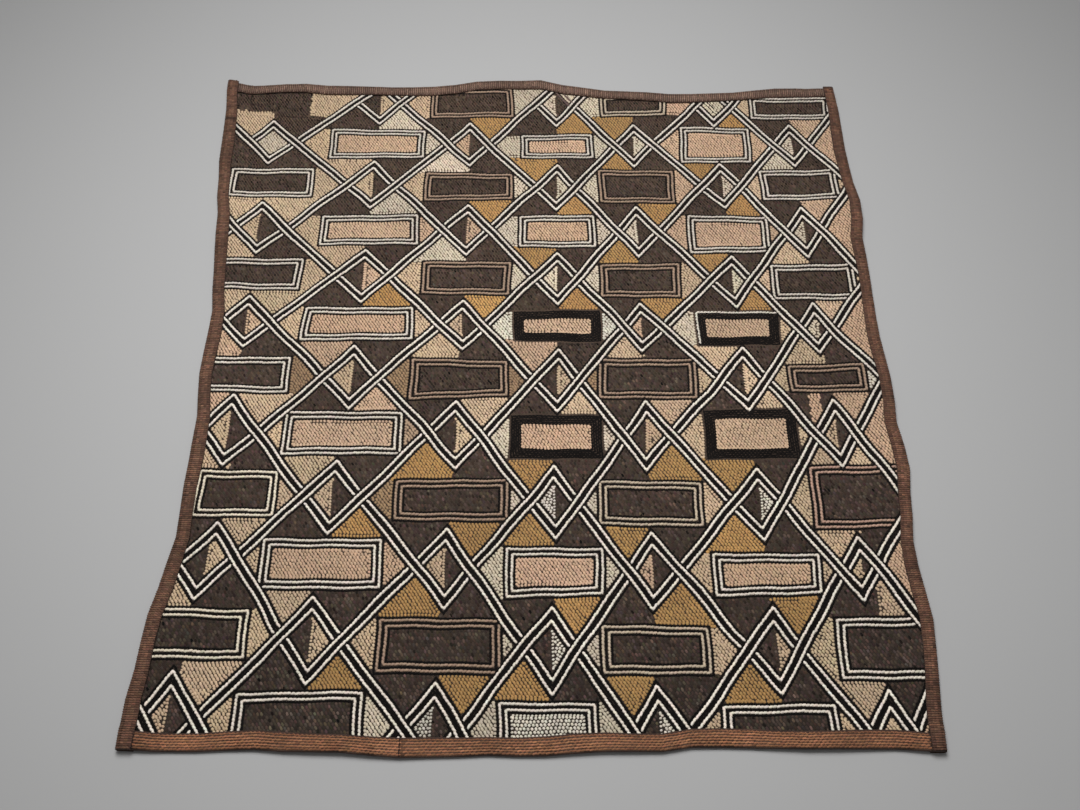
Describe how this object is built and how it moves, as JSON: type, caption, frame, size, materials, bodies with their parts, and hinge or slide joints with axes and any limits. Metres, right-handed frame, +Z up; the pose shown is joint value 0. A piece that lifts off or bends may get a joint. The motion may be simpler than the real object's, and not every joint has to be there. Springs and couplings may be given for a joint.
{
  "type": "kuba raffia cloth",
  "caption": "Flat rectangular embroidered raffia cloth with an interlaced lattice and framed blocks, edged with a folded binding strip.",
  "frame": {"origin": "under the middle of the cloth, on the surface that it lies on", "axes": "+X to the cloth's right-hand side, +Y towards its top edge, +Z up out of its embroidered face"},
  "size_m": [0.6009, 0.6541, 0.0075],
  "materials": {
    "embroidered_raffia": "embroidered plain weave raffia, tan, ochre, cream and near black, matt with a faint straw sheen",
    "binding_raffia": "ribbed raffia weave, dark reddish brown, matt"
  },
  "bodies": {
    "root": {"embroidered_field": "embroidered_raffia", "binding_top": "binding_raffia", "binding_bottom": "binding_raffia", "binding_left": "binding_raffia", "binding_right": "binding_raffia"}
  },
  "joints": []
}
